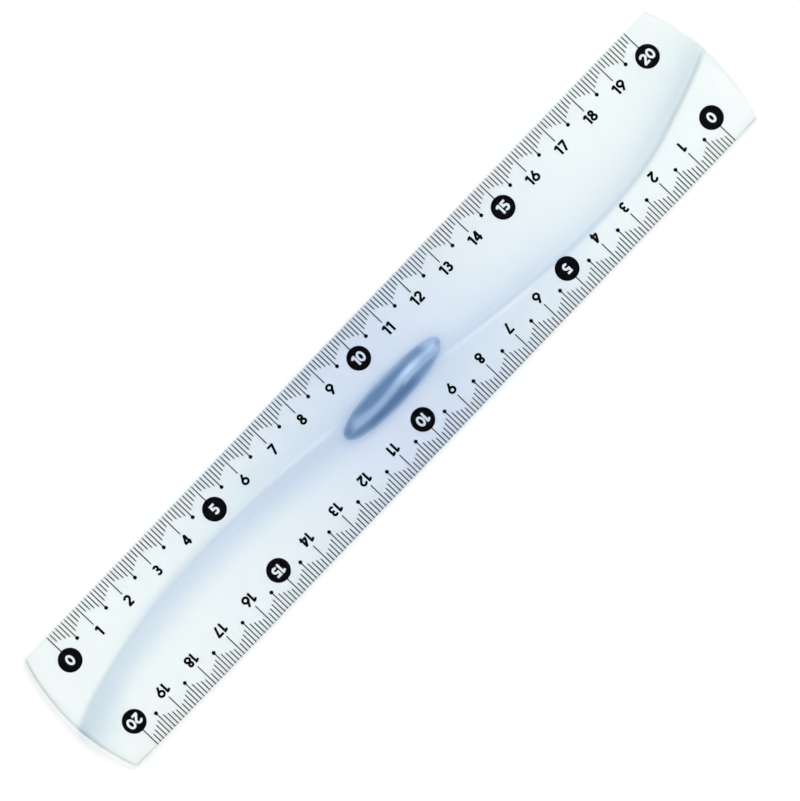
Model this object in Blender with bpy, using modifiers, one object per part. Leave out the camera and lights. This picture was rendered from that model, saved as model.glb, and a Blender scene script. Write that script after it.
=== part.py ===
"""A clear 20 cm plastic ruler, modelled in metres with +Z up.

X runs along the ruler, Y across it towards the scale that reads from left to
right, and Z = 0 is the flat underside. The origin is the middle of the
underside. Two solids make it up:

  ruler_blade   the clear moulding: bowed ends, faces that thin towards both
                long edges, and a low S-shaped crest that runs from one end
                to the grip and from the grip to the other end
  finger_grip   the darker oval rib, let into a pocket in the middle

The dimensions below are millimetres and are scaled once, by MM.
"""

import math

import bmesh
import bpy
from mathutils import Vector

MM = 0.001

# Outline
LENGTH = 221.5  # tip to tip of the bowed ends
WIDTH = 37.2  # between the two straight edges
END_RADIUS = 56.0  # of each bowed end
CORNER_RADIUS = 1.2

# Section
EDGE_THICKNESS = 1.1  # at the straight edges, where the scales are read
MID_THICKNESS = 2.0  # along the middle
CROWN_POWER = 2.2  # how late the faces start to fall towards the edges

# S-shaped crest. Each list holds design points (distance from the middle,
# offset from the axis) of the crest's foot in one half, and the other numbers
# shape the crest.
CREST_LEFT = (
    (112.0, -3.3), (104.0, -0.1), (95.0, 2.35), (85.0, 4.15), (75.0, 5.25),
    (60.0, 5.9), (45.0, 5.4), (30.0, 4.2), (16.0, 2.4), (4.0, 0.8),
)
CREST_RIGHT = (
    (112.0, -2.9), (104.0, 0.5), (95.0, 3.5), (85.0, 6.4), (75.0, 7.9),
    (62.0, 8.4), (50.0, 7.7), (35.0, 6.2), (22.0, 4.3), (4.0, 1.2),
)
CREST_HEIGHT = 0.6  # at its highest, at CREST_PEAK from the middle
CREST_PEAK = 62.0
CREST_FACE_LEFT = 3.2  # width of the outer face, from foot to ridge, at the peak
CREST_FACE_RIGHT = 2.8
CREST_FALL = 4.5  # distance in which the inner side falls away
PLATEAU_SHARE = 0.3  # of the height that stays as a wide swell
PLATEAU_FALL = 16.0

# Grip and its pocket
GRIP_LENGTH = 32.7
GRIP_WIDTH = 7.7
GRIP_CENTRE = (0.2, -0.43)
GRIP_TOP = 6.0  # above the underside
GRIP_RIM = 2.3  # height at which the dome starts
POCKET_FLOOR = 0.9
FIT_GAP = 0.3  # all round the grip

# Tessellation
STATIONS = 57  # cross-sections along the blade
END_POINTS = 25
CORNER_POINTS = 6
GRIP_SIDES = 72
DOME_POINTS = 12


def smooth(t):
    t = min(max(t, 0.0), 1.0)
    return t * t * (3.0 - 2.0 * t)


def spline(points, x):
    """Value at x of the cubic through points, whose x may fall or rise."""
    pts = sorted(points)
    if x <= pts[0][0]:
        return pts[0][1]
    if x >= pts[-1][0]:
        return pts[-1][1]
    slopes = []
    for i in range(len(pts)):
        a, b = pts[max(i - 1, 0)], pts[min(i + 1, len(pts) - 1)]
        slopes.append((b[1] - a[1]) / (b[0] - a[0]))
    for i in range(len(pts) - 1):
        (x0, y0), (x1, y1) = pts[i], pts[i + 1]
        if x <= x1:
            h = x1 - x0
            t = (x - x0) / h
            return (
                (2 * t**3 - 3 * t**2 + 1) * y0
                + (t**3 - 2 * t**2 + t) * h * slopes[i]
                + (3 * t**2 - 2 * t**3) * y1
                + (t**3 - t**2) * h * slopes[i + 1]
            )
    return pts[-1][1]


def crest(half, reach):
    """(offset of the crest's foot, width of its outer face, height) at a distance from the middle."""
    points, face = (
        (CREST_LEFT, CREST_FACE_LEFT) if half < 0 else (CREST_RIGHT, CREST_FACE_RIGHT)
    )
    hump = math.exp(-(((reach - CREST_PEAK) / 38.0) ** 2))
    fade = smooth((reach - 6.0) / 12.0)  # it dies out under the grip
    return (
        spline(points, reach),
        face * (0.5 + 0.5 * hump),
        CREST_HEIGHT * (0.5 + 0.5 * hump) * fade,
    )


def swell(inside, face):
    """Height of the crest, as a share, at a distance inside its foot."""
    if inside < face:
        return smooth(inside / face)
    past = inside - face
    return (1.0 - PLATEAU_SHARE) * math.exp(
        -((past / CREST_FALL) ** 1.3)
    ) + PLATEAU_SHARE * math.exp(-((past / PLATEAU_FALL) ** 2))


def top_height(x, y):
    """Height of the upper face over a point of the blade, in millimetres."""
    half = -1 if x < 0 else 1
    line, face, height = crest(half, abs(x))
    fall = (MID_THICKNESS - EDGE_THICKNESS) * (abs(y) / (WIDTH / 2)) ** CROWN_POWER
    # The left half has its crest above the axis and the right half below it.
    return MID_THICKNESS - fall + height * swell(line + half * y, face)


def section_offsets(x):
    """The Y of each point of one cross-section, with points on both crest lines."""
    reach, edge = abs(x), WIDTH / 2 + 1.0
    lines = {}
    for half in (-1, 1):
        if (half < 0) == (x < 0):
            line, face, _ = crest(half, reach)
        else:
            line, face = 4.4 + 6.0 * smooth((reach - 8.0) / 60.0), 1.0
        lines[half] = (-half * (line - face), -half * line)
    upper_in, upper_out = lines[-1]
    lower_in, lower_out = lines[1]
    offsets = []

    def run(start, end, count, ease=1.0):
        for i in range(count):
            offsets.append(start + (end - start) * (i / count) ** ease)

    middle = 0.5 * (lower_in + upper_in)
    run(-edge, lower_out, 5, 0.9)
    run(lower_out, lower_in, 2)
    run(lower_in, middle, 5, 1.3)
    run(middle, upper_in, 5, 0.77)
    run(upper_in, upper_out, 2)
    run(upper_out, edge, 5, 1.1)
    offsets.append(edge)
    return offsets


def outline():
    """The blade's plan, as one closed loop of (x, y)."""
    half_l, half_w = LENGTH / 2, WIDTH / 2
    centre = half_l - END_RADIUS  # of the right-hand end arc, on the axis
    fillet_y = half_w - CORNER_RADIUS
    reach = END_RADIUS - CORNER_RADIUS
    fillet_x = centre + math.sqrt(reach**2 - fillet_y**2)
    meet = math.atan2(fillet_y, fillet_x - centre)
    quarter = []
    for i in range(END_POINTS // 2 + 1):
        a = meet * i / (END_POINTS // 2)
        quarter.append(
            (centre + END_RADIUS * math.cos(a), END_RADIUS * math.sin(a))
        )
    for i in range(1, CORNER_POINTS + 1):
        a = meet + (math.pi / 2 - meet) * i / CORNER_POINTS
        quarter.append(
            (fillet_x + CORNER_RADIUS * math.cos(a), fillet_y + CORNER_RADIUS * math.sin(a))
        )
    right_top = quarter
    left_top = [(-x, y) for x, y in reversed(quarter)]
    loop = right_top + left_top
    loop += [(-x, -y) for x, y in loop[1:-1]]
    return loop


def clear_scene():
    for obj in list(bpy.data.objects):
        bpy.data.objects.remove(obj, do_unlink=True)
    for collection in list(bpy.data.collections):
        bpy.data.collections.remove(collection)


def make_collection(name):
    collection = bpy.data.collections.new(name)
    bpy.context.scene.collection.children.link(collection)
    return collection


def make_material(name, colour, roughness, metallic=0.0):
    material = bpy.data.materials.new(name)
    material.use_nodes = True
    shader = material.node_tree.nodes["Principled BSDF"]
    shader.inputs["Base Color"].default_value = (*colour, 1.0)
    shader.inputs["Roughness"].default_value = roughness
    shader.inputs["Metallic"].default_value = metallic
    material.diffuse_color = (*colour, 1.0)
    return material


def add_object(name, mesh, collection, material=None):
    obj = bpy.data.objects.new(name, mesh)
    collection.objects.link(obj)
    if material:
        mesh.materials.append(material)
    return obj


def mesh_from_curve(obj, name):
    """A closed mesh of a filled curve, whose caps are welded to its walls."""
    graph = bpy.context.evaluated_depsgraph_get()
    mesh = bpy.data.meshes.new_from_object(obj.evaluated_get(graph))
    mesh.name = name
    bm = bmesh.new()
    bm.from_mesh(mesh)
    bmesh.ops.remove_doubles(bm, verts=bm.verts, dist=1e-7)
    bmesh.ops.recalc_face_normals(bm, faces=bm.faces)
    bm.to_mesh(mesh)
    bm.free()
    mesh.transform(obj.matrix_world)
    bpy.data.objects.remove(obj, do_unlink=True)
    return mesh


def blank_mesh(collection):
    """The outline as a slab that is thicker than the finished blade."""
    depth = 5.0
    curve = bpy.data.curves.new("blade_outline", "CURVE")
    curve.dimensions = "2D"
    curve.fill_mode = "BOTH"
    curve.extrude = depth / 2 * MM
    points = outline()
    path = curve.splines.new("POLY")
    path.points.add(len(points) - 1)
    for point, (x, y) in zip(path.points, points):
        point.co = (x * MM, y * MM, 0.0, 1.0)
    path.use_cyclic_u = True
    obj = bpy.data.objects.new("blade_outline", curve)
    obj.location.z = depth / 2 * MM
    collection.objects.link(obj)
    bpy.context.view_layer.update()
    return mesh_from_curve(obj, "ruler_blade")


def upper_face_cutter(collection):
    """All that lies above the blade's upper face: a loft through its unlike cross-sections."""
    bm = bmesh.new()
    reach = LENGTH / 2 + 2.0
    sections = []
    for i in range(STATIONS):
        x = -reach + 2 * reach * i / (STATIONS - 1)
        ring = [
            bm.verts.new((x * MM, y * MM, top_height(x, y) * MM))
            for y in section_offsets(x)
        ]
        edge = WIDTH / 2 + 1.0
        ring.append(bm.verts.new((x * MM, edge * MM, 9.0 * MM)))
        ring.append(bm.verts.new((x * MM, -edge * MM, 9.0 * MM)))
        sections.append(ring)
    for a, b in zip(sections, sections[1:]):
        for j in range(len(a)):
            k = (j + 1) % len(a)
            bm.faces.new((a[j], a[k], b[k], b[j]))
    bm.faces.new(sections[0])
    bm.faces.new(sections[-1])
    bmesh.ops.triangulate(bm, faces=bm.faces)
    bmesh.ops.recalc_face_normals(bm, faces=bm.faces)
    mesh = bpy.data.meshes.new("upper_face_cutter")
    bm.to_mesh(mesh)
    bm.free()
    return add_object("upper_face_cutter", mesh, collection)


def pocket_cutter(collection):
    """The grip's outline, larger by the fit gap, from the pocket floor up."""
    low, high = POCKET_FLOOR, 9.0
    bm = bmesh.new()
    bmesh.ops.create_cone(
        bm, cap_ends=True, segments=GRIP_SIDES, radius1=1.0, radius2=1.0, depth=1.0
    )
    half = (GRIP_LENGTH / 2 + FIT_GAP, GRIP_WIDTH / 2 + FIT_GAP, high - low)
    bmesh.ops.scale(bm, vec=Vector(half) * MM, verts=bm.verts)
    bmesh.ops.translate(
        bm,
        vec=Vector((*GRIP_CENTRE, (low + high) / 2)) * MM,
        verts=bm.verts,
    )
    bmesh.ops.recalc_face_normals(bm, faces=bm.faces)
    mesh = bpy.data.meshes.new("pocket_cutter")
    bm.to_mesh(mesh)
    bm.free()
    return add_object("pocket_cutter", mesh, collection)


def cut(obj, cutter):
    modifier = obj.modifiers.new(cutter.name, "BOOLEAN")
    modifier.operation = "DIFFERENCE"
    modifier.solver = "EXACT"
    modifier.object = cutter
    cutter.hide_render = True
    cutter.display_type = "WIRE"


def shade_round(mesh, degrees=30.0):
    mesh.shade_smooth()
    mesh.set_sharp_from_angle(angle=math.radians(degrees))


def make_blade(parts, cutters, material):
    blade = add_object("ruler_blade", blank_mesh(cutters), parts, material)
    cut(blade, upper_face_cutter(cutters))
    cut(blade, pocket_cutter(cutters))
    shade_round(blade.data)
    return blade


def make_grip(parts, material):
    """A turned rib, made oval by its scale: dome, straight wall, chamfer and flat foot."""
    radius = GRIP_LENGTH / 2
    foot = POCKET_FLOOR + FIT_GAP
    profile = []
    for i in range(DOME_POINTS + 1):
        t = math.pi / 2 * i / DOME_POINTS
        profile.append(
            (
                radius * math.sin(t) ** 0.92,
                GRIP_RIM + (GRIP_TOP - GRIP_RIM) * math.cos(t) ** 1.0
                if i < DOME_POINTS
                else GRIP_RIM,
            )
        )
    profile.append((radius, foot + 0.2))
    profile.append((radius - 0.6, foot))
    profile.append((0.0, foot))
    mesh = bpy.data.meshes.new("finger_grip")
    mesh.from_pydata(
        [(r * MM, 0.0, z * MM) for r, z in profile],
        [(i, i + 1) for i in range(len(profile) - 1)],
        [],
    )
    grip = add_object("finger_grip", mesh, parts, material)
    screw = grip.modifiers.new("turn", "SCREW")
    screw.axis = "Z"
    screw.steps = screw.render_steps = GRIP_SIDES
    screw.use_merge_vertices = True
    screw.merge_threshold = 1e-6
    screw.use_smooth_shade = True
    grip.scale = (1.0, GRIP_WIDTH / GRIP_LENGTH, 1.0)
    grip.location = Vector((*GRIP_CENTRE, 0.0)) * MM
    return grip


def main():
    clear_scene()
    parts = make_collection("clear_ruler")
    cutters = make_collection("cutters")
    clear_plastic = make_material("clear_plastic", (0.80, 0.91, 0.95), 0.08)
    grip_plastic = make_material("grip_plastic", (0.14, 0.26, 0.48), 0.30)
    make_blade(parts, cutters, clear_plastic)
    make_grip(parts, grip_plastic)


main()
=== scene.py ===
"""The looks of a clear 20 cm ruler: its moulded blade, its grip and its print.

Lengths below are millimetres in the frame's own axes and are scaled once, by
MM. X runs along the ruler, Y across it towards the scale that reads from left
to right, and Z = 0 is the surface that it lies on.
"""

import math

import bmesh
import bpy
import numpy as np
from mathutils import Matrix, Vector


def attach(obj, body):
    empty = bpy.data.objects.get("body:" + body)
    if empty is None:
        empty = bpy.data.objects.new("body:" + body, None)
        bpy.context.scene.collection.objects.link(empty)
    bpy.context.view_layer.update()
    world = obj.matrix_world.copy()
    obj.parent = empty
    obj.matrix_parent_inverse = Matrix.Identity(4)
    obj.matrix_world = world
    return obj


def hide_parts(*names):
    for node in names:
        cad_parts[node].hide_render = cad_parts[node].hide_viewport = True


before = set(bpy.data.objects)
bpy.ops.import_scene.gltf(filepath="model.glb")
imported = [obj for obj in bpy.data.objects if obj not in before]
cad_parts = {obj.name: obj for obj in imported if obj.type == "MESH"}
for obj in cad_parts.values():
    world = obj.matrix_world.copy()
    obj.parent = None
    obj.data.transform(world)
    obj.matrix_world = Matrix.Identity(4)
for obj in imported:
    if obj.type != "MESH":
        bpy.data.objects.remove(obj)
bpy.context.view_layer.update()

MM = 0.001

# ---------------------------------------------------------------- dimensions
LENGTH, WIDTH = 221.5, 37.2
END_RADIUS, CORNER_RADIUS = 56.0, 1.2
EDGE_THICKNESS, MID_THICKNESS, CROWN_POWER = 1.1, 2.0, 2.2
TOP_ROUND, FOOT_ROUND = 0.28, 0.07  # radii of the upper and lower rims
UNDERSIDE = 0.02  # the blade stands on the thickness of its own print

CREST_LEFT = (
    (112.0, -3.3), (104.0, -0.1), (95.0, 2.35), (85.0, 4.15), (75.0, 5.25),
    (60.0, 5.9), (45.0, 5.4), (30.0, 4.2), (16.0, 2.4), (4.0, 0.8),
)
CREST_RIGHT = (
    (112.0, -2.9), (104.0, 0.5), (95.0, 3.5), (85.0, 6.4), (75.0, 7.9),
    (62.0, 8.4), (50.0, 7.7), (35.0, 6.2), (22.0, 4.3), (4.0, 1.2),
)
CREST_HEIGHT, CREST_PEAK = 0.5, 62.0
CREST_FACE_LEFT, CREST_FACE_RIGHT = 3.2, 2.8  # from the foot up to the ridge
CREST_FALL, PLATEAU_SHARE, PLATEAU_FALL = 4.5, 0.3, 16.0

GRIP_WIDTH = 7.7
GRIP_CENTRE = (0.2, -0.43)
GRIP_TIPS = (16.17, 16.35)  # from its centre to its left and its right tip
GRIP_FULLNESS = (2.35, 2.15)  # of its left and its right half: 2 is an ellipse, more is squarer
GRIP_SKEW = 0.54  # how far its right tip bends up
GRIP_TOP, GRIP_FOOT, POCKET_FLOOR = 6.0, 0.96, 0.9
SEAT_GAP = 0.04

# Print
ZERO_AT = -100.0  # X of the upper scale's zero
TICK_WIDTH = 0.265
TICK_LENGTHS = {0: 6.05, 1: 2.55, 2: 3.0, 3: 3.5, 4: 4.05, 6: 4.05, 7: 3.5, 8: 3.0, 9: 2.55}
DOT_DEPTH, DOT_RADIUS = 5.5, 0.48
DISC_RADIUS, DISC_Y = 2.98, 10.57
NUMBER_Y = 10.32
DIGIT_HEIGHT, STROKE = 2.75, 0.60
INK_LOW, INK_HIGH = 0.004, 0.017
LINES_FROM = {"upper": 18.24, "lower": 18.46}  # the scale lines' outer ends, from the axis
SCALE_HALF = 18.5  # the lines' lengths are measured from here

# --------------------------------------------------------------- small tools


def smooth(t):
    t = np.clip(t, 0.0, 1.0)
    return t * t * (3.0 - 2.0 * t)


def spline(points, x):
    """The cubic through points, at every value of the array x."""
    pts = np.array(sorted(points))
    px, py = pts[:, 0], pts[:, 1]
    low, high = np.maximum(np.arange(len(px)) - 1, 0), np.minimum(
        np.arange(len(px)) + 1, len(px) - 1
    )
    slope = (py[high] - py[low]) / (px[high] - px[low])
    x = np.clip(np.asarray(x, float), px[0], px[-1])
    i = np.clip(np.searchsorted(px, x) - 1, 0, len(px) - 2)
    h = px[i + 1] - px[i]
    t = (x - px[i]) / h
    return (
        (2 * t**3 - 3 * t**2 + 1) * py[i]
        + (t**3 - 2 * t**2 + t) * h * slope[i]
        + (3 * t**2 - 2 * t**3) * py[i + 1]
        + (t**3 - t**2) * h * slope[i + 1]
    )


def link(obj):
    bpy.context.scene.collection.objects.link(obj)
    return obj


def new_object(name, mesh, material=None):
    obj = link(bpy.data.objects.new(name, mesh))
    if material:
        mesh.materials.append(material)
    return obj


def evaluated_mesh(obj, name):
    """The object's mesh with its modifiers applied, and the object removed."""
    bpy.context.view_layer.update()
    graph = bpy.context.evaluated_depsgraph_get()
    mesh = bpy.data.meshes.new_from_object(obj.evaluated_get(graph))
    mesh.name = name
    bpy.data.objects.remove(obj, do_unlink=True)
    return mesh


# ------------------------------------------------------------ blade geometry


def crest(x):
    """(foot line, face width, height) of the crest at each x, in its own half's sense."""
    reach = np.abs(x)
    left = np.asarray(x) < 0
    hump = np.exp(-(((reach - CREST_PEAK) / 38.0) ** 2))
    line = np.where(left, spline(CREST_LEFT, reach), spline(CREST_RIGHT, reach))
    face = np.where(left, CREST_FACE_LEFT, CREST_FACE_RIGHT) * (0.5 + 0.5 * hump)
    height = CREST_HEIGHT * (0.5 + 0.5 * hump) * smooth((reach - 6.0) / 12.0)
    return line, face, height


def inside_crest(x, y):
    """How far each point lies inside the crest's foot in its half."""
    line, _, _ = crest(x)
    return line + np.where(np.asarray(x) < 0, -1.0, 1.0) * y


def top_height(x, y):
    _, face, height = crest(x)
    d = inside_crest(x, y)
    fall = (MID_THICKNESS - EDGE_THICKNESS) * (np.abs(y) / (WIDTH / 2)) ** CROWN_POWER
    dp = np.maximum(d - face, 0.0)
    past = dp / CREST_FALL  # the ridge is rounded, and past it the crest falls away
    inner = (1 - PLATEAU_SHARE) * np.exp(-1.25 * past**2 / (past + 0.25)) + PLATEAU_SHARE * np.exp(
        -((dp / PLATEAU_FALL) ** 2)
    )
    swell = np.where(d < face, smooth(d / face), inner)
    return MID_THICKNESS - fall + height * swell


def rows_at(x, reach_y):
    """The Y of the blade's lengthwise mesh lines at each x: a (len(x), rows) array.

    Two bundles of lines follow the crest's face, so that its folds stay crisp.
    """
    x = np.asarray(x, float)
    line, face, _ = crest(x)
    idle = 3.4 + 6.0 * smooth((np.abs(x) - 8.0) / 60.0)
    left = x < 0
    up_out = np.where(left, line, idle)
    up_in = up_out - np.where(left, face, 1.2)
    low_out = -np.where(left, idle, line)
    low_in = low_out + np.where(left, 1.2, face)
    middle = 0.5 * (low_in + up_in)
    columns = []

    def run(a, b, count, ease=1.0):
        for k in range(count):
            columns.append(a + (b - a) * (k / count) ** ease)

    edge = np.full_like(x, reach_y)
    run(-edge, low_out, 16, 0.95)
    run(low_out, low_in, 14)
    run(low_in, middle, 14, 1.35)
    run(middle, up_in, 14, 1 / 1.35)
    run(up_in, up_out, 14)
    run(up_out, edge, 16, 1 / 0.95)
    columns.append(edge)
    return np.stack(columns, -1)


COLUMNS = 260  # mesh steps along the blade
CORNER_STEPS = 7


def plan(inset):
    """(x, y) of every mesh crossing when the outline is drawn in by inset."""
    centre = LENGTH / 2 - END_RADIUS
    fy = WIDTH / 2 - CORNER_RADIUS
    fx = centre + math.sqrt((END_RADIUS - CORNER_RADIUS) ** 2 - fy**2)
    meet = math.atan2(fy, fx - centre)
    big, small = END_RADIUS - inset, CORNER_RADIUS - inset
    reach_y = big * math.sin(meet)
    s = np.linspace(-1.0, 1.0, COLUMNS + 1)
    # Columns gather a little towards the ends, where the outline curves.
    s = s + 0.03 * np.sin(np.pi * s) / np.pi * 1.0
    y = rows_at(s * LENGTH / 2, reach_y)
    for _ in range(4):  # each line follows the crest at its own X
        x = s[:, None] * (centre + np.sqrt(big**2 - y**2))
        y = np.stack([rows_at(x[:, k], reach_y)[:, k] for k in range(x.shape[1])], -1)
    x = s[:, None] * (centre + np.sqrt(big**2 - y**2))
    angles = meet + (math.pi / 2 - meet) * np.arange(1, CORNER_STEPS + 1) / CORNER_STEPS
    cy = np.broadcast_to(fy + small * np.sin(angles), (len(s), CORNER_STEPS))
    cx = s[:, None] * (fx + small * np.cos(angles))
    y = np.concatenate([-cy[:, ::-1], y, cy], 1)
    x = np.concatenate([cx[:, ::-1], x, cx], 1)
    return x, y


def blade_mesh():
    """The whole moulding, closed, before its pocket is cut."""
    verts, faces = [], []
    tx, ty = plan(TOP_ROUND)
    n, m = tx.shape
    tz = top_height(tx, ty)
    border = (
        [(i, 0) for i in range(n)]
        + [(n - 1, j) for j in range(1, m)]
        + [(i, m - 1) for i in range(n - 2, -1, -1)]
        + [(0, j) for j in range(m - 2, 0, -1)]
    )
    bi, bj = np.array(border).T
    verts.append(np.stack([tx, ty, tz], -1).reshape(-1, 3))
    grid = np.arange(n * m).reshape(n, m)
    quads = np.stack(
        [grid[:-1, :-1], grid[1:, :-1], grid[1:, 1:], grid[:-1, 1:]], -1
    ).reshape(-1, 4)
    faces.append(quads)
    total = n * m
    last = grid[bi, bj]
    rings = []
    for k in range(1, 6):
        a = math.pi / 2 * k / 5
        rings.append((TOP_ROUND * (1 - math.sin(a)), tz[bi, bj] - TOP_ROUND * (1 - math.cos(a))))
    for k in range(0, 4):
        a = math.pi / 2 * k / 3
        rings.append(
            (FOOT_ROUND * (1 - math.cos(a)), np.full(len(bi), UNDERSIDE + FOOT_ROUND * (1 - math.sin(a))))
        )
    for inset, z in rings[:-1]:
        x, y = plan(inset)
        verts.append(np.stack([x[bi, bj], y[bi, bj], z], -1))
        ring = np.arange(total, total + len(bi))
        total += len(bi)
        faces.append(np.stack([last, ring, np.roll(ring, -1), np.roll(last, -1)], -1))
        last = ring
    bx, by = plan(FOOT_ROUND)
    verts.append(np.stack([bx, by, np.full_like(bx, UNDERSIDE)], -1).reshape(-1, 3))
    low = np.arange(total, total + n * m).reshape(n, m)
    ring = low[bi, bj]
    faces.append(np.stack([last, ring, np.roll(ring, -1), np.roll(last, -1)], -1))
    faces.append(
        np.stack([low[:-1, :-1], low[:-1, 1:], low[1:, 1:], low[1:, :-1]], -1).reshape(-1, 4)
    )
    mesh = bpy.data.meshes.new("ruler_blade_clear")
    mesh.from_pydata((np.concatenate(verts) * MM).tolist(), [], np.concatenate(faces).tolist())
    mesh.update()
    bm = bmesh.new()
    bm.from_mesh(mesh)
    bmesh.ops.recalc_face_normals(bm, faces=bm.faces)
    bm.to_mesh(mesh)
    bm.free()
    return mesh


def grip_half(x):
    """(half length, fullness) of the half of the grip in which each x from its centre lies."""
    left = np.asarray(x) < 0
    return np.where(left, *GRIP_TIPS), np.where(left, *GRIP_FULLNESS)


def grip_outline(angle, share=1.0, wider=0.0):
    """(x, y) of the grip's oval at each angle, drawn in to a share of its size."""
    c, s = np.cos(angle), np.sin(angle)
    half_x, n = grip_half(c)
    px = np.sign(c) * np.abs(c) ** (2 / n) * share
    py = np.sign(s) * np.abs(s) ** (2 / n) * share
    x = GRIP_CENTRE[0] + (half_x + wider) * px
    y = GRIP_CENTRE[1] + (GRIP_WIDTH / 2 + wider) * py + GRIP_SKEW * np.maximum(px, 0) ** 4
    return x, y


def from_grip(x, y):
    """(share of the oval's size, distance outside its outline) of each point."""
    half_x, n = grip_half(x - GRIP_CENTRE[0])
    half_y = GRIP_WIDTH / 2
    px = (x - GRIP_CENTRE[0]) / half_x
    p = np.abs(px)
    q = np.abs((y - GRIP_CENTRE[1] - GRIP_SKEW * np.maximum(px, 0) ** 4) / half_y)
    share = np.maximum(p**n + q**n, 1e-9) ** (1 / n)
    slope = share ** (1 - n) * np.hypot(p ** (n - 1) / half_x, q ** (n - 1) / half_y)
    return share, (share - 1) / np.maximum(slope, 1e-6)


def oval_cutter():
    """The pocket that the grip sits in."""
    sides, low, high = 192, POCKET_FLOOR, 9.0
    x, y = grip_outline(2 * np.pi * np.arange(sides) / sides, wider=SEAT_GAP)
    mesh = prism([list(zip(x * MM, y * MM))], low * MM, high * MM)
    mesh.name = "oval_cutter"
    return new_object("oval_cutter", mesh)


def tint_attributes(mesh):
    """Stores, for every vertex, the tints and the painted light and shade that the plastic's colour depends
    on there.
    """
    co = np.empty(len(mesh.vertices) * 3, np.float32)
    mesh.vertices.foreach_get("co", co)
    x, y, _ = (co.reshape(-1, 3) / MM).T.astype(float)
    d = inside_crest(x, y)
    _, face, _ = crest(x)
    left = x < 0
    reach = np.abs(x)
    # Just inside the crest, the thicker plastic's deeper tint with painted shade on it, fading towards the
    # axis.
    depth = 3.0 + 1.2 * smooth((reach - 20.0) / 25.0) + 1.3 * smooth((reach - 68.0) / 25.0)
    inner = np.where(
        left,
        np.cos(np.clip(d / (9.4 + 3.0 * smooth((reach - 94.0) / 12.0)), 0, 1) * np.pi / 2) ** 2
        * (1 - 0.22 * np.exp(-((reach / 32.0) ** 2)))
        * (1 - 0.2 * np.exp(-((d / 0.3) ** 2))),
        np.exp(-((np.maximum(d, 0) / depth) ** 1.1)),
    )
    out = np.maximum(-d, 0)
    pale_shade_strip = 0.55 * np.exp(-(((reach - 68.0) / 17.0) ** 2))  # a paler strip of the band's painted shade outside the left half's foot
    outer = np.where(
        left,
        (0.8 - pale_shade_strip) * np.exp(-((out / 0.3) ** 1.6)) + pale_shade_strip * (1 - smooth((out - 0.9) / 1.1)),
        1 - smooth((out + 0.1) / (0.8 + 0.35 * smooth((reach - 34.0) / 14.0))),
    )
    band = np.where(d >= 0, inner, outer) * smooth((reach - 7.0) / 15.0)
    middle = np.exp(-((reach / 46.0) ** 1.5))
    # Painted edge shade on the side away from the key light: the wall of the left end and of the lower edge
    # is the darker one.
    centre = LENGTH / 2 - END_RADIUS
    to_end = END_RADIUS - np.hypot(-x - centre, y)
    painted_rim_shade = np.zeros_like(x)
    thin = 0.45 - 0.2 * np.exp(-(((y + 0.4) / 1.5) ** 2))
    painted_rim_shade = np.maximum(painted_rim_shade, np.where(x < -centre, 1 - smooth(to_end / thin), 0.0))
    painted_rim_shade = np.maximum(painted_rim_shade, 1 - smooth((y + WIDTH / 2) / (0.45 + np.where(left, 0.1, 0.2) * smooth((reach - 102.5) / 3.0))))
    # The painted edge shade is deepest where the crest runs out of the left end, and the right end, which
    # faces the key light, is painted lighter.
    painted_meeting_shade = np.where(x < -centre, 1 - smooth(to_end / 0.65), 0.0) * np.exp(-(((y + 3.9) / 1.5) ** 2))
    to_right = END_RADIUS - np.hypot(x - centre, y)
    painted_end_light = np.where(x > centre, 1 - smooth((to_right - 0.3) / 1.9), 0.0)
    far = smooth((reach - 50.0) / 30.0) * (1 + 0.6 * smooth((reach - 88.0) / 14.0))
    tail = band * np.where(left, 0.5 * smooth((reach - 78.0) / 14.0), far)
    band *= 1 - 0.7 * painted_end_light
    strip = smooth((to_end - 0.3) / 0.4) * (1 - smooth((to_end - 1.0) / 1.4)) * smooth((-y - 5.0) / 2.5)
    band *= 1 - 0.55 * np.where(x < -centre, strip, 0.0)
    # A thin line of painted crease shade follows the foot of the right half's crest, out to its end.
    painted_foot_shade = np.where(left, 0.0, np.exp(-(((d - 0.12) / 0.42) ** 2))) * smooth((reach - 66.0) / 30.0)
    painted_foot_shade *= 1 - 0.6 * painted_end_light
    # A painted highlight, a bright thread, runs along the outside of the crest on either side of the grip.
    thread = np.exp(-(((d + 0.45) / 0.45) ** 2))
    along = np.where(
        left,
        smooth((reach - 15.0) / 3.0) * (1 - smooth((reach - 24.0) / 14.0)),
        smooth((reach - 13.0) / 3.0) * (1 - smooth((reach - 34.0) / 20.0)),
    )
    glint = np.where(left, 0.6, 0.8) * thread * along
    # Outside the crest's foot it is a little darker again, near the middle.
    lee = smooth((-d - 0.3) / 1.2) * np.exp(-((np.maximum(-d, 0) / np.where(left, 6.0, 9.0)) ** 2))
    lee *= smooth((reach - 4.0) / 10.0) * (1 - smooth((reach - 34.0) / 34.0))
    lee *= 1 + 0.45 * np.where(left, np.exp(-(((reach - 24.0) / 8.0) ** 2)), 0.0)
    layers = {
        "band": band, "middle": middle, "painted_rim_shade": painted_rim_shade, "glint": glint, "lee": lee,
        "painted_meeting_shade": painted_meeting_shade, "painted_end_light": painted_end_light, "painted_foot_shade": painted_foot_shade, "tail": tail,
    }
    for name, value in layers.items():
        layer = mesh.attributes.new(name, "FLOAT", "POINT")
        layer.data.foreach_set("value", value.astype(np.float32))


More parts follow.
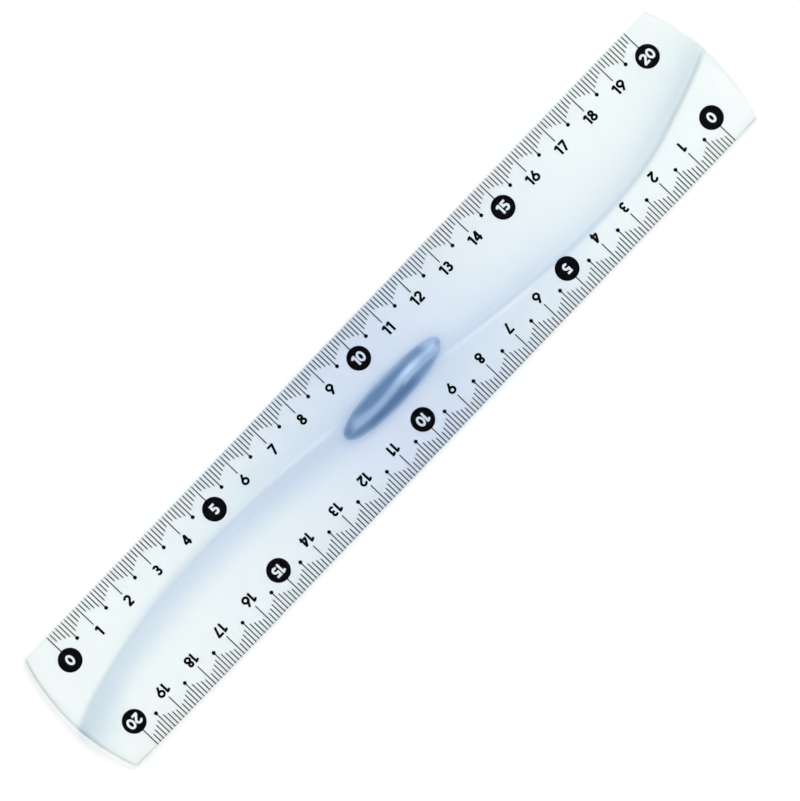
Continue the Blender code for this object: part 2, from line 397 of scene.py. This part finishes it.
def make_blade(material):
    raw = new_object("ruler_blade_raw", blade_mesh())
    cutter = oval_cutter()
    cut = raw.modifiers.new("pocket", "BOOLEAN")
    cut.operation, cut.solver, cut.object = "DIFFERENCE", "EXACT", cutter
    mesh = evaluated_mesh(raw, "ruler_blade_clear")
    bpy.data.objects.remove(cutter, do_unlink=True)
    mesh.shade_smooth()
    mesh.set_sharp_from_angle(angle=math.radians(40))
    tint_attributes(mesh)
    return new_object("ruler_blade_clear", mesh, material)


# ------------------------------------------------------------- grip geometry


RIM_HEIGHT = 2.35
RIDGE_SWING, RIDGE_WAVE = 0.42, 23.0  # the ridge's swing to each side, and its wave length


def ridge_at(x):
    """The Y of the grip's ridge, which swings like the crest that it carries on."""
    return RIDGE_SWING * np.sin(2 * np.pi * (x - 1.0) / RIDGE_WAVE) + GRIP_CENTRE[1] + 0.15


def grip_height(x, y):
    """The grip's top: an oval dome that folds up into a soft roof along its ridge."""
    share, _ = from_grip(x, y)
    share = np.clip(share, 0, 1)
    half_x, n = grip_half(x - GRIP_CENTRE[0])
    hx = np.clip((x - GRIP_CENTRE[0]) / half_x, -1, 1)
    half = GRIP_WIDTH / 2 * np.clip(1 - np.abs(hx) ** n, 1e-6, 1) ** (1 / n)
    axis = GRIP_CENTRE[1] + GRIP_SKEW * np.maximum(hx, 0) ** 4
    ridge = axis + (ridge_at(x) - axis) * np.clip(1 - hx**6, 0, 1)
    side = np.where(y >= ridge, axis + half - ridge, ridge - axis + half)
    across = np.clip(np.abs(y - ridge) / np.maximum(side, 1e-3), 0, 1)
    along = np.sqrt(np.clip(1 - np.abs(hx) ** 2.4, 0, 1))
    dome = np.sqrt(np.clip(1 - share**2.2, 0, 1))
    roof = (1 - np.sqrt(across**2 + 0.03) / math.sqrt(1.03)) / (1 - math.sqrt(0.03 / 1.03))
    return RIM_HEIGHT + (GRIP_TOP - RIM_HEIGHT) * (0.62 * dome + 0.38 * roof * along)


def grip_tones(x, y):
    """How light the grip looks at each point, from 0, darkest, to 1, lightest: painted shade on its flanks
    and tips and a painted highlight along its ridge.
    """
    ridge = ridge_at(x)
    upper = (
        0.17
        + 0.10 * smooth((x - 2) / 6)
        + 0.46 * smooth((x - 10.8) / 3.2)
        + 0.20 * np.exp(-(((x + 11.6) / 2.0) ** 2))
    )
    lower = (
        0.03
        + 0.24 * smooth((x - 3.5) / 5)
        + 0.44 * smooth((x - 12.0) / 2.4)
        + 0.18 * smooth((-x - 7) / 5)
    )
    flank = lower + (upper - lower) * smooth((y - ridge + 0.5) / 1.0)
    # A painted highlight runs along the ridge, and a second, fainter one below it on the right.
    level = 0.64 + 0.36 * np.exp(-(((x - 6.2) / 4.0) ** 2)) + 0.14 * smooth((x - 11) / 3)
    level *= 1 - 0.8 * smooth((-x - 11.5) / 3.2)
    above = 0.8 + 0.3 * np.exp(-(((x + 9.8) / 2.6) ** 2))
    below = 0.94 + 0.14 * smooth((x + 3) / 4) - 0.25 * smooth((-x - 9.5) / 3.5)
    wide = below + (above - below) * smooth((y - ridge + 0.3) / 0.6)
    ridge_highlight = np.exp(-np.log(2) * (np.abs(y - ridge) / wide) ** 2.8)
    second_highlight = smooth((x - 1.0) / 3.5) * np.exp(-np.log(2) * (np.abs(y - ridge + 0.95) / 0.82) ** 3.4)
    tone = flank + np.maximum(level - flank, 0) * ridge_highlight
    faint = 0.72 - 0.08 * smooth((x - 7) / 3)
    tone = np.maximum(tone, flank + np.maximum(faint - flank, 0) * second_highlight)
    inside = -from_grip(x, y)[1]
    clearer = -0.2 * smooth((x + 5) / 4) * (1 - smooth((x - 5) / 3))
    darker = 0.35 * np.exp(-(((x + 10.5) / 2.2) ** 2)) + 0.3 * np.exp(-(((x - 10.5) / 2.6) ** 2))
    inside = inside + (clearer + darker) * smooth(y - ridge) + 0.12 * np.exp(-(((x + 15.8) / 0.9) ** 2))
    skirt = 1 - smooth((inside + 0.25) / 1.55)
    tone += (0.72 - tone) * skirt
    tip = np.exp(-(((x - 15.5) / 0.8) ** 2) - ((y + 0.3) / 0.55) ** 2)
    return np.clip(tone - 0.26 * tip, 0, 1)


def make_grip(material):
    """An oval rib with a swinging ridge, a straight wall and a flat foot."""
    sides, steps = 192, 56
    angle = 2 * np.pi * np.arange(sides) / sides

    def ring(share, z=None):
        x, y = grip_outline(angle, share)
        z = grip_height(x, y) if z is None else np.full(sides, z)
        return np.stack([x, y, z], -1)

    middle = np.array(GRIP_CENTRE)
    top = grip_height(middle[:1], middle[1:])[0]
    rings = [ring(r) for r in np.sin(np.pi / 2 * np.arange(1, steps + 1) / steps) ** 0.95]
    rings += [ring(1.0, 1.9), ring(1.0, 1.4), ring(1.0, GRIP_FOOT + 0.12), ring(0.985, GRIP_FOOT)]
    rings += [ring(r, GRIP_FOOT) for r in (0.75, 0.5, 0.25)]
    co = np.concatenate([[(*middle, top)], np.concatenate(rings), [(*middle, GRIP_FOOT)]])
    index = 1 + np.arange(len(rings) * sides).reshape(len(rings), sides)
    nxt = np.roll(index, -1, 1)
    faces = [(0, int(a), int(b)) for a, b in zip(index[0], nxt[0])]
    faces += np.stack([index[:-1], index[1:], nxt[1:], nxt[:-1]], -1).reshape(-1, 4).tolist()
    faces += [(int(b), int(a), len(co) - 1) for a, b in zip(index[-1], nxt[-1])]
    mesh = bpy.data.meshes.new("finger_grip_rib")
    mesh.from_pydata((co * MM).tolist(), [], faces)
    mesh.update()
    # Each point's tone carries the grip's painted light and shade.
    layer = mesh.attributes.new("tone", "FLOAT", "POINT")
    layer.data.foreach_set("value", grip_tones(co[:, 0], co[:, 1]).astype(np.float32))
    mesh.shade_smooth()
    mesh.set_sharp_from_angle(angle=math.radians(40))
    return new_object("finger_grip_rib", mesh, material)


# ------------------------------------------------------------ print geometry


def prism(loops, low, high):
    """A closed prism over one simple outline, in millimetres."""
    bm = bmesh.new()
    for loop in loops:
        lower = [bm.verts.new((x, y, low)) for x, y in loop]
        upper = [bm.verts.new((x, y, high)) for x, y in loop]
        bm.faces.new(upper)
        bm.faces.new(list(reversed(lower)))
        for i in range(len(loop)):
            j = (i + 1) % len(loop)
            bm.faces.new((lower[i], lower[j], upper[j], upper[i]))
    bmesh.ops.recalc_face_normals(bm, faces=bm.faces)
    mesh = bpy.data.meshes.new("prism")
    bm.to_mesh(mesh)
    bm.free()
    return mesh


def arc(cx, cy, rx, ry, start, end, steps=28):
    """Points of an elliptical arc, angles in degrees."""
    return [
        (
            cx + rx * math.cos(math.radians(start + (end - start) * k / steps)),
            cy + ry * math.sin(math.radians(start + (end - start) * k / steps)),
        )
        for k in range(steps + 1)
    ]


def ribbon(points, width):
    """The outline of a stroke of one width along points, with square ends."""
    pts = [Vector(p) for p in points]
    left, right = [], []
    for i, p in enumerate(pts):
        before = (p - pts[i - 1]).normalized() if i else (pts[1] - p).normalized()
        after = (pts[i + 1] - p).normalized() if i < len(pts) - 1 else before
        along = (before + after).normalized()
        side = Vector((-along.y, along.x))
        reach = width / 2 / max(along.dot(before), 0.5)
        left.append(tuple(p + side * reach))
        right.append(tuple(p - side * reach))
    return left + right[::-1]


def strokes_of(digit):
    """(list of open strokes, list of closed ovals, advance width) of one digit.

    A plain geometric hand: circles, ovals and straight lines of one weight.
    """
    h, w = DIGIT_HEIGHT, STROKE
    top, base = h - w / 2, w / 2
    if digit == "0":
        return [], [(0.93, h / 2, 0.70, h / 2 - w / 2)], 1.86
    if digit == "1":
        return [[(0.86, 0.0), (0.86, h)], [(0.06, h - 0.64), (0.80, h - 0.19)]], [], 1.10
    if digit == "2":
        bow = arc(0.87, h - 0.86, 0.63, 0.63, 172, -32)
        return [bow + [(0.24, base + 0.02)], [(0.04, base), (1.68, base)]], [], 1.72
    if digit == "3":
        upper = arc(0.80, 1.95, 0.50, 0.50, 155, -90)
        lower = arc(0.80, 0.875, 0.58, 0.575, 90, -158)
        return [upper, lower, [(0.52, 1.45), (0.84, 1.45)]], [], 1.66
    if digit == "4":
        return [
            [(1.24, h - 0.1), (0.20, 0.84)],
            [(0.0, 0.78), (1.82, 0.78)],
            [(1.28, 0.0), (1.28, h)],
        ], [], 1.84
    if digit == "5":
        bowl = arc(0.82, 0.90, 0.59, 0.60, 125, -150)
        return [[(0.30, top), (1.56, top)], [(0.42, h), (0.42, 1.22)], bowl], [], 1.68
    if digit == "6":
        return [[(1.36, h + 0.0), (0.44, 1.22)]], [(0.98, 0.90, 0.72, 0.675)], 1.94
    if digit == "7":
        return [[(0.06, top), (1.76, top)], [(1.60, h - 0.1), (0.62, 0.0)]], [], 1.80
    if digit == "8":
        return [], [(0.86, h - 0.70, 0.48, 0.465), (0.86, 0.79, 0.62, 0.56)], 1.74
    if digit == "9":
        return [[(0.58, 0.0), (1.50, h - 1.22)]], [(0.96, h - 0.90, 0.72, 0.675)], 1.94
    raise ValueError(digit)


def oval_ring(cx, cy, rx, ry, width, low, high, steps=56):
    """A closed flat ring with an oval middle line."""
    bm = bmesh.new()
    grid = []
    for k in range(steps):
        a = 2 * math.pi * k / steps
        c, s = math.cos(a), math.sin(a)
        n = Vector((c / rx, s / ry)).normalized() * width / 2
        column = []
        for sign, z in ((1, low), (1, high), (-1, high), (-1, low)):
            column.append(bm.verts.new((cx + rx * c + sign * n.x, cy + ry * s + sign * n.y, z)))
        grid.append(column)
    for k in range(steps):
        a, b = grid[k], grid[(k + 1) % steps]
        for i in range(4):
            j = (i + 1) % 4
            bm.faces.new((a[i], b[i], b[j], a[j]))
    bmesh.ops.recalc_face_normals(bm, faces=bm.faces)
    mesh = bpy.data.meshes.new("ring")
    bm.to_mesh(mesh)
    bm.free()
    return mesh


def united(meshes, name):
    """One mesh from several overlapping ones."""
    first = new_object("first", meshes[0])
    for k, mesh in enumerate(meshes[1:]):
        other = new_object(f"other{k}", mesh)
        join = first.modifiers.new(f"join{k}", "BOOLEAN")
        join.operation, join.solver, join.object = "UNION", "EXACT", other
    others = [m.object for m in first.modifiers]
    result = evaluated_mesh(first, name)
    for other in others:
        bpy.data.objects.remove(other, do_unlink=True)
    return result


def digit_mesh(digit, low, high):
    lines, ovals, _ = strokes_of(digit)
    made = [prism([ribbon(line, STROKE)], low, high) for line in lines]
    made += [oval_ring(*oval, STROKE, low, high) for oval in ovals]
    return united(made, f"digit_{digit}")


def text_layout(text, spacing=0.30):
    """[(digit, x of its left side)] of a number centred on zero."""
    widths = [strokes_of(c)[2] for c in text]
    total = sum(widths) + spacing * (len(text) - 1)
    # A lone 1 stands left of the middle, since its foot is all on its right.
    x, placed = -total / 2 - (0.13 if text == "1" else 0.0), []
    for c, wide in zip(text, widths):
        placed.append((c, x))
        x += wide + spacing
    return placed


def moved_copy(mesh, x, y, turned=False):
    """The mesh's points and faces, moved and, for the lower scale, turned half round."""
    co = np.empty(len(mesh.vertices) * 3, np.float32)
    mesh.vertices.foreach_get("co", co)
    co = co.reshape(-1, 3).astype(float) + (x, y, 0.0)
    if turned:
        co = co * (-1.0, -1.0, 1.0)
    return co, [tuple(p.vertices) for p in mesh.polygons]


def gather(name, parts, material):
    """One object from [(points, faces)], scaled from millimetres."""
    verts, faces, base = [], [], 0
    for co, polygons in parts:
        verts.append(co)
        faces += [tuple(v + base for v in p) for p in polygons]
        base += len(co)
    mesh = bpy.data.meshes.new(name)
    mesh.from_pydata((np.concatenate(verts) * MM).tolist(), [], faces)
    mesh.update()
    return new_object(name, mesh, material)


def tick_loop(x, length, start):
    h, low = TICK_WIDTH / 2, SCALE_HALF - length
    return [(x - h, low), (x + h, low), (x + h, start), (x - h, start)]


def dotted_tick_loop(x, start):
    h, cy = TICK_WIDTH / 2, SCALE_HALF - DOT_DEPTH
    turn = math.degrees(math.asin(h / DOT_RADIUS))
    dot = arc(x, cy, DOT_RADIUS, DOT_RADIUS, 90 + turn, 450 - turn, 30)
    return [(x - h, start)] + dot + [(x + h, start)]


def make_print(material):
    digits = {c: digit_mesh(c, INK_LOW, INK_HIGH) for c in "0123456789"}
    cutters = {c: digit_mesh(c, INK_LOW - 0.5, INK_HIGH + 0.5) for c in "0125"}
    discs = {}
    for number in ("0", "5", "10", "15", "20"):
        disc = new_object(
            "disc", prism([arc(0, 0, DISC_RADIUS, DISC_RADIUS, 0, 360, 96)[:-1]], INK_LOW, INK_HIGH)
        )
        holes = []
        for k, (c, x) in enumerate(text_layout(number, 0.22)):
            hole = new_object(f"hole{k}", cutters[c].copy())
            hole.location = (x, -DIGIT_HEIGHT / 2, 0)
            cut = disc.modifiers.new(f"hole{k}", "BOOLEAN")
            cut.operation, cut.solver, cut.object = "DIFFERENCE", "EXACT", hole
            holes.append(hole)
        discs[number] = evaluated_mesh(disc, f"disc_{number}")
        for hole in holes:
            bpy.data.objects.remove(hole, do_unlink=True)
    made = []
    for side, turned in (("upper", False), ("lower", True)):
        lines, numbers, circles = [], [], []
        for k in range(201):
            x = ZERO_AT + k
            if k % 10 == 5:
                loop = dotted_tick_loop(x, LINES_FROM[side])
            elif k % 50 == 0:
                loop = tick_loop(x, SCALE_HALF - DISC_Y - DISC_RADIUS - 0.005, LINES_FROM[side])
            else:
                loop = tick_loop(x, TICK_LENGTHS[k % 10], LINES_FROM[side])
            lines.append(moved_copy(prism([loop], INK_LOW, INK_HIGH), 0, 0, turned))
        for cm in range(21):
            x = ZERO_AT + 10 * cm
            if cm % 5 == 0:
                circles.append(moved_copy(discs[str(cm)], x, DISC_Y, turned))
                continue
            for c, dx in text_layout(str(cm)):
                numbers.append(moved_copy(digits[c], x + dx, NUMBER_Y - DIGIT_HEIGHT / 2, turned))
        made.append(gather(f"{side}_scale_lines", lines, material))
        made.append(gather(f"{side}_scale_numbers", numbers, material))
        made.append(gather(f"{side}_number_discs", circles, material))
    return made


# ------------------------------------------------------------------ materials


def srgb(r, g, b):
    """A linear colour from 0-255 display values."""
    return tuple(
        c / 12.92 if c <= 0.04045 else ((c + 0.055) / 1.055) ** 2.4
        for c in (r / 255, g / 255, b / 255)
    )


class Tree:
    """A few short ways to add nodes to a material."""

    def __init__(self, name):
        self.material = bpy.data.materials.new(name)
        self.material.use_nodes = True
        self.tree = self.material.node_tree
        self.tree.nodes.clear()
        self.out = self.tree.nodes.new("ShaderNodeOutputMaterial")

    def add(self, kind, **settings):
        node = self.tree.nodes.new(kind)
        for key, value in settings.items():
            setattr(node, key, value)
        return node

    def join(self, source, target):
        self.tree.links.new(source, target)

    def attribute(self, name):
        return self.add("ShaderNodeAttribute", attribute_name=name).outputs["Fac"]

    def mix(self, factor, a, b, blend="MIX"):
        node = self.add("ShaderNodeMix", data_type="RGBA", blend_type=blend, clamp_result=False)
        for socket, value in ((node.inputs[0], factor), (node.inputs[6], a), (node.inputs[7], b)):
            if isinstance(value, (int, float)):
                socket.default_value = value
            elif isinstance(value, tuple):
                socket.default_value = (*value, 1.0)
            else:
                self.join(value, socket)
        return node.outputs[2]

    def math(self, operation, a, b=0.0, clamp=False):
        node = self.add("ShaderNodeMath", operation=operation, use_clamp=clamp)
        for socket, value in ((node.inputs[0], a), (node.inputs[1], b)):
            if isinstance(value, (int, float)):
                socket.default_value = value
            else:
                self.join(value, socket)
        return node.outputs[0]

    def vector(self, operation, a, b):
        node = self.add("ShaderNodeVectorMath", operation=operation)
        for socket, value in ((node.inputs[0], a), (node.inputs[1], b)):
            if isinstance(value, (tuple, list)):
                socket.default_value = value
            else:
                self.join(value, socket)
        return node.outputs[0]

    def length(self, a):
        node = self.add("ShaderNodeVectorMath", operation="LENGTH")
        self.join(a, node.inputs[0])
        return node.outputs["Value"]

    def noise(self, scale, detail=3.0, roughness=0.5, vector=None):
        node = self.add("ShaderNodeTexNoise")
        node.inputs["Scale"].default_value = scale
        node.inputs["Detail"].default_value = detail
        node.inputs["Roughness"].default_value = roughness
        if vector is None:
            vector = self.add("ShaderNodeTexCoord").outputs["Object"]
        self.join(vector, node.inputs["Vector"])
        return node.outputs["Fac"]


FLOOR_LIGHT = 1.035  # brightness of the bare floor, 1 being white
THROUGH = 1.068  # share of the floor's light that crosses the untinted blade
CROSSINGS = 2.575  # how many times that light takes up the blade's colour


def tint(r, g, b):
    """The colour of one crossing that makes the floor look (r, g, b) through the blade."""
    return tuple(min(c / (FLOOR_LIGHT * THROUGH), 1.0) ** (1 / CROSSINGS) for c in srgb(r, g, b))


def shade(seen, bare):
    """The factor that takes the blade from the colour bare to the colour seen."""
    return tuple(a / b for a, b in zip(tint(*seen), tint(*bare)))


def streaks(t, along, across):
    """A noise drawn out along the ruler, as fine wear is."""
    place = t.vector("MULTIPLY", t.add("ShaderNodeTexCoord").outputs["Object"], (along, across, across))
    return t.noise(1.0, 4.0, 0.6, place)


def ranged(t, value, low, high):
    """The noise value, which runs from about 0.3 to 0.7, spread over low to high."""
    node = t.add("ShaderNodeMapRange")
    for key, number in (("From Min", 0.3), ("From Max", 0.7), ("To Min", low), ("To Max", high)):
        node.inputs[key].default_value = number
    t.join(value, node.inputs["Value"])
    return node.outputs[0]


def bumps(t, height, depth):
    """A normal from a height of 0 to 1 that stands for depth in millimetres."""
    node = t.add("ShaderNodeBump")
    node.inputs["Strength"].default_value = 1.0
    node.inputs["Distance"].default_value = depth * MM
    t.join(height, node.inputs["Height"])
    return node.outputs["Normal"]


def pass_lamps(t, shader, colour):
    """Lets the lamps' light straight through, with the plastic's own colour."""
    lamp = t.add("ShaderNodeBsdfTransparent")
    if isinstance(colour, tuple):
        lamp.inputs["Color"].default_value = (*colour, 1.0)
    else:
        t.join(colour, lamp.inputs["Color"])
    path = t.add("ShaderNodeLightPath")
    mixer = t.add("ShaderNodeMixShader")
    t.join(path.outputs["Is Shadow Ray"], mixer.inputs[0])
    t.join(shader.outputs[0], mixer.inputs[1])
    t.join(lamp.outputs[0], mixer.inputs[2])
    t.join(mixer.outputs[0], t.out.inputs["Surface"])


def around_grip(t):
    """How much painted shade in the grip's blue lies at each point of the clear plastic round it.

    It is strongest at the grip's outline and dies away in a millimetre or so,
    sooner on the upper right than on the upper left, and it is weaker at the tips.
    """
    half_y = GRIP_WIDTH / 2 * MM
    split = t.add("ShaderNodeSeparateXYZ")
    t.join(t.add("ShaderNodeTexCoord").outputs["Object"], split.inputs[0])
    x = t.math("SUBTRACT", split.outputs["X"], GRIP_CENTRE[0] * MM)
    left = t.math("LESS_THAN", x, 0.0)
    n = t.math("ADD", t.math("MULTIPLY", left, GRIP_FULLNESS[0] - GRIP_FULLNESS[1]), GRIP_FULLNESS[1])
    half_x = t.math("ADD", t.math("MULTIPLY", left, (GRIP_TIPS[0] - GRIP_TIPS[1]) * MM), GRIP_TIPS[1] * MM)
    px = t.math("DIVIDE", x, half_x)
    skew = t.math("MULTIPLY", t.math("POWER", t.math("MAXIMUM", px, 0.0), 4.0), GRIP_SKEW * MM)
    py = t.math("SUBTRACT", t.math("SUBTRACT", split.outputs["Y"], GRIP_CENTRE[1] * MM), skew)
    py = t.math("DIVIDE", py, half_y)
    p, q = t.math("ABSOLUTE", px), t.math("ABSOLUTE", py)
    total = t.math("ADD", t.math("POWER", p, n), t.math("POWER", q, n))
    share = t.math("POWER", t.math("MAXIMUM", total, 1e-6), t.math("DIVIDE", 1.0, n))
    less = t.math("SUBTRACT", n, 1.0)
    gx = t.math("DIVIDE", t.math("POWER", p, less), t.math("DIVIDE", half_x, MM))
    gy = t.math("DIVIDE", t.math("POWER", q, less), half_y / MM)
    slope = t.math("SQRT", t.math("ADD", t.math("MULTIPLY", gx, gx), t.math("MULTIPLY", gy, gy)))
    slope = t.math("DIVIDE", slope, t.math("POWER", share, less))
    outside = t.math("MAXIMUM", t.math("DIVIDE", t.math("SUBTRACT", share, 1.0), slope), 0.0)
    round_ = t.math("SQRT", t.math("ADD", t.math("MULTIPLY", px, px), t.math("MULTIPLY", py, py)))
    cosine, sine = t.math("DIVIDE", px, round_), t.math("DIVIDE", py, round_)
    reach = t.math("ADD", t.math("MULTIPLY", sine, -0.05), 0.95)
    leftward = t.math("MULTIPLY", cosine, t.math("MAXIMUM", sine, 0.0))
    reach = t.math("SUBTRACT", reach, t.math("MULTIPLY", leftward, 0.7))
    fade = t.math("EXPONENT", t.math("DIVIDE", t.math("MULTIPLY", outside, -1.0), reach))
    tip = t.add("ShaderNodeMapRange", interpolation_type="SMOOTHSTEP")
    for key, value in (("From Min", 0.75), ("From Max", 0.98), ("To Min", 1.0), ("To Max", 0.6)):
        tip.inputs[key].default_value = value
    leftmost = t.math("SUBTRACT", 0.15, cosine)
    t.join(t.math("MAXIMUM", cosine, leftmost), tip.inputs["Value"])
    # Only the upper face takes it, not the pocket's wall and floor.
    face = t.add("ShaderNodeSeparateXYZ")
    t.join(t.add("ShaderNodeNewGeometry").outputs["Normal"], face.inputs[0])
    upward = t.math("GREATER_THAN", face.outputs["Z"], 0.5)
    above = t.math("GREATER_THAN", split.outputs["Z"], (POCKET_FLOOR + 0.3) * MM)
    return t.math("MULTIPLY", t.math("MULTIPLY", fade, tip.outputs[0]), t.math("MULTIPLY", upward, above))


def clear_plastic():
    t = Tree("clear_plastic")
    white = (1.0, 1.0, 1.0)
    colour = t.mix(t.attribute("middle"), tint(240, 249, 247), tint(208, 221, 239))
    # Painted light and shade on the tints: the band lays painted shade on the thicker plastic's deeper tint,
    # the ring round the grip is painted shade, the lee and the tail darken round the crest and towards the
    # ends, the rim and the meeting spot are painted edge shade, the seam is painted crease shade, and the
    # right end is painted lighter.
    for share, factor in (
        (t.attribute("band"), shade((198, 216, 231), (236, 246, 246))),
        (around_grip(t), shade((96, 134, 190), (214, 226, 241))),
        (t.attribute("lee"), shade((210, 226, 240), (222, 235, 245))),
        (t.attribute("painted_rim_shade"), shade((156, 167, 165), (238, 247, 246))),
        (t.attribute("painted_meeting_shade"), shade((172, 177, 202), (212, 219, 222))),
        (t.attribute("painted_foot_shade"), shade((202, 217, 219), (212, 228, 235))),
        (t.attribute("tail"), shade((217, 229, 234), (220, 232, 240))),
        (t.attribute("painted_end_light"), shade((246, 252, 250), (240, 249, 247))),
    ):
        colour = t.mix(1.0, colour, t.mix(share, white, factor), "MULTIPLY")
    # The glint is a painted highlight.
    colour = t.mix(t.attribute("glint"), colour, tint(240, 246, 252))
    # The moulding's tone drifts a little over centimetres, as the plastic flowed in.
    drift = t.mix(ranged(t, streaks(t, 45.0, 110.0), 0.0, 1.0), (0.9975, 0.998, 0.9985), (1.0, 1.0, 1.0))
    colour = t.mix(1.0, colour, drift, "MULTIPLY")
    shader = t.add("ShaderNodeBsdfPrincipled")
    t.join(colour, shader.inputs["Base Color"])
    # Polished, with faint hairlines along it and a slow waviness from the mould.
    hairlines = ranged(t, streaks(t, 60.0, 2600.0), 0.0, 0.012)
    haze = ranged(t, t.noise(260.0, 3.0), 0.018, 0.04)
    t.join(t.math("ADD", hairlines, haze), shader.inputs["Roughness"])
    t.join(bumps(t, streaks(t, 70.0, 190.0), 0.006), shader.inputs["Normal"])
    shader.inputs["IOR"].default_value = 1.5
    # The faces are clear, and the walls of the outline are a little frosted.
    facing = t.add("ShaderNodeSeparateXYZ")
    t.join(t.add("ShaderNodeNewGeometry").outputs["Normal"], facing.inputs[0])
    clear = t.add("ShaderNodeMapRange", interpolation_type="SMOOTHSTEP")
    for key, value in (("From Min", 0.05), ("From Max", 0.4), ("To Min", 0.5), ("To Max", 1.0)):
        clear.inputs[key].default_value = value
    t.join(t.math("ABSOLUTE", facing.outputs["Z"]), clear.inputs["Value"])
    t.join(clear.outputs[0], shader.inputs["Transmission Weight"])
    pass_lamps(t, shader, colour)
    return t.material


SHEEN_LIFT = 0.04  # what the room's reflection adds to the grip's own colour


def grip_plastic():
    t = Tree("grip_plastic")
    # The tone is the grip's painted light and shade, turned into blues by the ramp.
    ramp = t.add("ShaderNodeValToRGB")
    t.join(t.attribute("tone"), ramp.inputs["Fac"])
    stops = ramp.color_ramp.elements
    tones = (
        (0.0, (84, 116, 158)),
        (0.2, (105, 135, 176)),
        (0.5, (135, 164, 201)),
        (0.8, (165, 191, 222)),
        (1.0, (188, 215, 244)),
    )
    for at, seen in tones:
        stop = stops[0] if at == 0 else stops[-1] if at == 1 else stops.new(at)
        stop.position = at
        stop.color = (*(max(c - SHEEN_LIFT, 0.01) for c in srgb(*seen)), 1)
    # Thin and thick of the tint, in slow clouds.
    cloud = t.mix(ranged(t, t.noise(240.0, 2.0, 0.4), 0.0, 1.0), (0.985, 0.988, 0.992), (1.012, 1.01, 1.006))
    colour = t.mix(1.0, ramp.outputs[0], cloud, "MULTIPLY")
    shader = t.add("ShaderNodeBsdfPrincipled")
    t.join(colour, shader.inputs["Base Color"])
    # A satin moulded skin: a fine grain, smoother in patches where thumbs have rubbed it.
    t.join(ranged(t, t.noise(320.0, 3.0, 0.4), 0.285, 0.34), shader.inputs["Roughness"])
    t.join(bumps(t, t.noise(6000.0, 2.0, 0.5), 0.003), shader.inputs["Normal"])
    shader.inputs["IOR"].default_value = 1.5
    pass_lamps(t, shader, (0.93, 0.96, 0.99))
    return t.material


def ink():
    t = Tree("scale_ink")
    fine = t.noise(9000.0, 2.0)
    colour = t.mix(fine, srgb(2, 2, 5), srgb(9, 9, 15))
    shader = t.add("ShaderNodeBsdfPrincipled")
    t.join(colour, shader.inputs["Base Color"])
    t.join(ranged(t, fine, 0.45, 0.65), shader.inputs["Roughness"])
    shader.inputs["Specular IOR Level"].default_value = 0.04
    t.join(bumps(t, t.noise(14000.0, 2.0), 0.002), shader.inputs["Normal"])
    t.join(shader.outputs[0], t.out.inputs["Surface"])
    return t.material


def floor_paper():
    t = Tree("floor_paper")
    shader = t.add("ShaderNodeBsdfPrincipled")
    cloud = t.noise(6.0, 2.0)
    t.join(t.mix(cloud, (0.93, 0.93, 0.93), (0.95, 0.95, 0.95)), shader.inputs["Base Color"])
    shader.inputs["Roughness"].default_value = 0.9
    shader.inputs["Specular IOR Level"].default_value = 0.1
    t.join(shader.outputs[0], t.out.inputs["Surface"])
    return t.material


# --------------------------------------------------------------- build pieces

blade = make_blade(clear_plastic())
grip = make_grip(grip_plastic())
prints = make_print(ink())

for piece in (blade, grip, *prints):
    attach(piece, "root")
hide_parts("ruler_blade")
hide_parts("finger_grip")

# ---------------------------------------------------------- floor, lights, camera

bpy.ops.mesh.primitive_plane_add(size=6.0, location=(0, 0, -0.00002))
floor = bpy.context.object
floor.name = "studio_floor"
floor.data.materials.append(floor_paper())

# A white room with a dark patch of ceiling right above the ruler, so that its
# level surfaces mirror the dark and its print stays black.
world = bpy.data.worlds.new("studio")
world.use_nodes = True
sky = world.node_tree
place = sky.nodes.new("ShaderNodeTexCoord")
split = sky.nodes.new("ShaderNodeSeparateXYZ")
sky.links.new(place.outputs["Generated"], split.inputs[0])
patch = sky.nodes.new("ShaderNodeMapRange")
patch.interpolation_type = "SMOOTHSTEP"
for key, value in (("From Min", 0.80), ("From Max", 0.97), ("To Min", 0.955), ("To Max", 0.015)):
    patch.inputs[key].default_value = value
sky.links.new(split.outputs["Z"], patch.inputs["Value"])
background = sky.nodes["Background"]
background.inputs["Color"].default_value = (1.0, 1.0, 1.0, 1.0)
sky.links.new(patch.outputs[0], background.inputs["Strength"])
bpy.context.scene.world = world
bpy.context.scene.view_settings.view_transform = "Standard"
bpy.context.scene.view_settings.exposure = 0.0


def softbox(name, place, size, power):
    light = bpy.data.lights.new(name, "AREA")
    light.shape, light.size, light.size_y = "RECTANGLE", size[0], size[1]
    light.energy = power
    obj = link(bpy.data.objects.new(name, light))
    obj.location = place
    obj.rotation_euler = (Vector((0, 0, 0)) - Vector(place)).to_track_quat("-Z", "Y").to_euler()
    return obj


softbox("key_softbox", (1.6, 0.75, 1.9), (1.2, 1.2), 23.0)
softbox("fill_softbox", (-1.4, -0.9, 1.7), (1.2, 1.2), 9.5)

TURN = math.radians(46.2846)  # of the ruler in the picture
PX = 835.107 / 200.0  # picture pixels per millimetre
DISTANCE = 2.0
camera_data = bpy.data.cameras.new("camera")
camera_data.sensor_width = 36.0
camera_data.lens = 36.0 * DISTANCE / (801 / PX * MM)
camera_data.clip_end = 20.0
camera = link(bpy.data.objects.new("camera", camera_data))
right = Vector((math.cos(TURN), -math.sin(TURN), 0))
up = Vector((math.sin(TURN), math.cos(TURN), 0))
# Where the ruler's middle lies in the picture, from the picture's own middle.
off_x, off_y = (390.811 - 400.0) / PX, (400.5 - 388.835) / PX
camera.location = (-right * off_x - up * off_y) * MM + Vector((0, 0, DISTANCE))
camera.rotation_euler = (0, 0, -TURN)
bpy.context.scene.camera = camera
